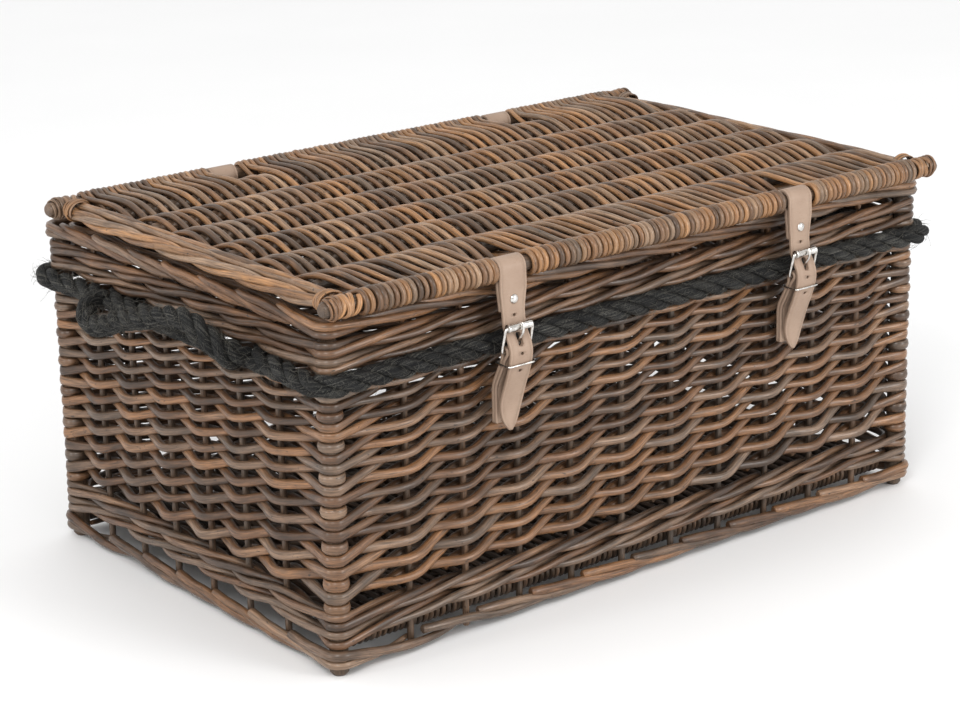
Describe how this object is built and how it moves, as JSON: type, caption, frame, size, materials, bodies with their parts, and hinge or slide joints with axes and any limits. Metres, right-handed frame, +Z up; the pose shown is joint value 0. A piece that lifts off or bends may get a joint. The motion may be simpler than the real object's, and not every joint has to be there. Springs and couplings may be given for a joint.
{
  "type": "wicker storage trunk",
  "caption": "Rectangular woven willow trunk with a hinged lid, buckled leather closing straps, a rope trim and rope end grips.",
  "frame": {"origin": "on the floor, under the middle of the trunk's overall box", "axes": "+X to the right along the long side, -Y is the front with the buckles, +Z up"},
  "size_m": [0.6896, 0.4275, 0.2956],
  "materials": {
    "willow_weave": "satin",
    "willow_lid": "satin",
    "willow_sticks": "satin",
    "rope": "rough",
    "leather": "satin",
    "nickel": "polished"
  },
  "bodies": {
    "trunk": {"post_front_left": "willow_sticks", "post_front_right": "willow_sticks", "post_back_left": "willow_sticks", "post_back_right": "willow_sticks", "stakes_front": "willow_sticks", "stakes_back": "willow_sticks", "stakes_left": "willow_sticks", "stakes_right": "willow_sticks", "base_stick_front": "willow_sticks", "base_stick_back": "willow_sticks", "base_inner_sticks": "willow_sticks", "base_weave": "willow_sticks", "foot_border": "willow_weave", "bottom_wale": "willow_weave", "rand_front": "willow_weave", "rand_back": "willow_weave", "rand_left": "willow_weave", "rand_right": "willow_weave", "top_wale": "willow_weave", "top_border": "willow_weave", "rope_trim": "rope", "grip_knots_left": "rope", "grip_knots_right": "rope", "buckle_strap_left": "leather", "buckle_strap_right": "leather", "buckle_rivets_left": "nickel", "buckle_rivets_right": "nickel", "strap_keeper_left": "nickel", "strap_keeper_right": "nickel", "hinge_strap_left": "leather", "hinge_strap_right": "leather", "hinge_rivets_left": "nickel", "hinge_rivets_right": "nickel"},
    "lid": {"lid_stick_front": "willow_sticks", "lid_stick_back": "willow_sticks", "lid_inner_sticks": "willow_sticks", "lid_weave": "willow_lid", "lid_border_left": "willow_lid", "lid_border_right": "willow_lid", "lid_ties": "willow_lid"},
    "strap_left": {"closing_strap_left": "leather", "strap_rivet_left": "nickel"},
    "buckle_left": {"buckle_frame_left": "nickel"},
    "prong_left": {"buckle_prong_left": "nickel"},
    "roller_left": {"buckle_roller_left": "nickel"},
    "grip_left": {"grip_left": "rope"},
    "strap_right": {"closing_strap_right": "leather", "strap_rivet_right": "nickel"},
    "buckle_right": {"buckle_frame_right": "nickel"},
    "prong_right": {"buckle_prong_right": "nickel"},
    "roller_right": {"buckle_roller_right": "nickel"},
    "grip_right": {"grip_right": "rope"}
  },
  "joints": [
    {"name": "lid_hinge", "type": "hinge", "parent": "trunk", "child": "lid", "pos_m": [0, 0.1804, 0.283], "axis": [-1, 0, 0], "range_deg": [0, 110]},
    {"name": "closing_strap_left_swing", "type": "hinge", "parent": "lid", "child": "strap_left", "pos_m": [-0.1475, -0.1938, 0.283], "axis": [-1, 0, 0], "range_deg": [0, 100], "deforming": ["closing_strap_left"]},
    {"name": "buckle_left_swing", "type": "hinge", "parent": "trunk", "child": "buckle_left", "pos_m": [-0.1475, -0.2036, 0.2225], "axis": [1, 0, 0], "range_deg": [0, 60]},
    {"name": "prong_left_swing", "type": "hinge", "parent": "buckle_left", "child": "prong_left", "pos_m": [-0.1475, -0.2036, 0.2225], "axis": [1, 0, 0], "range_deg": [0, 30]},
    {"name": "roller_left_spin", "type": "hinge", "parent": "buckle_left", "child": "roller_left", "pos_m": [-0.1475, -0.2083, 0.2415], "axis": [1, 0, 0], "continuous": true},
    {"name": "grip_left_swing", "type": "hinge", "parent": "trunk", "child": "grip_left", "pos_m": [-0.3072, 0.007, 0.22525], "axis": [0, 1, 0], "range_deg": [-50, 25]},
    {"name": "closing_strap_right_swing", "type": "hinge", "parent": "lid", "child": "strap_right", "pos_m": [0.1475, -0.1938, 0.283], "axis": [-1, 0, 0], "range_deg": [0, 100], "deforming": ["closing_strap_right"]},
    {"name": "buckle_right_swing", "type": "hinge", "parent": "trunk", "child": "buckle_right", "pos_m": [0.1475, -0.2036, 0.2225], "axis": [1, 0, 0], "range_deg": [0, 60]},
    {"name": "prong_right_swing", "type": "hinge", "parent": "buckle_right", "child": "prong_right", "pos_m": [0.1475, -0.2036, 0.2225], "axis": [1, 0, 0], "range_deg": [0, 30]},
    {"name": "roller_right_spin", "type": "hinge", "parent": "buckle_right", "child": "roller_right", "pos_m": [0.1475, -0.2083, 0.2415], "axis": [1, 0, 0], "continuous": true},
    {"name": "grip_right_swing", "type": "hinge", "parent": "trunk", "child": "grip_right", "pos_m": [0.3072, 0.007, 0.22525], "axis": [0, -1, 0], "range_deg": [-50, 25]}
  ]
}
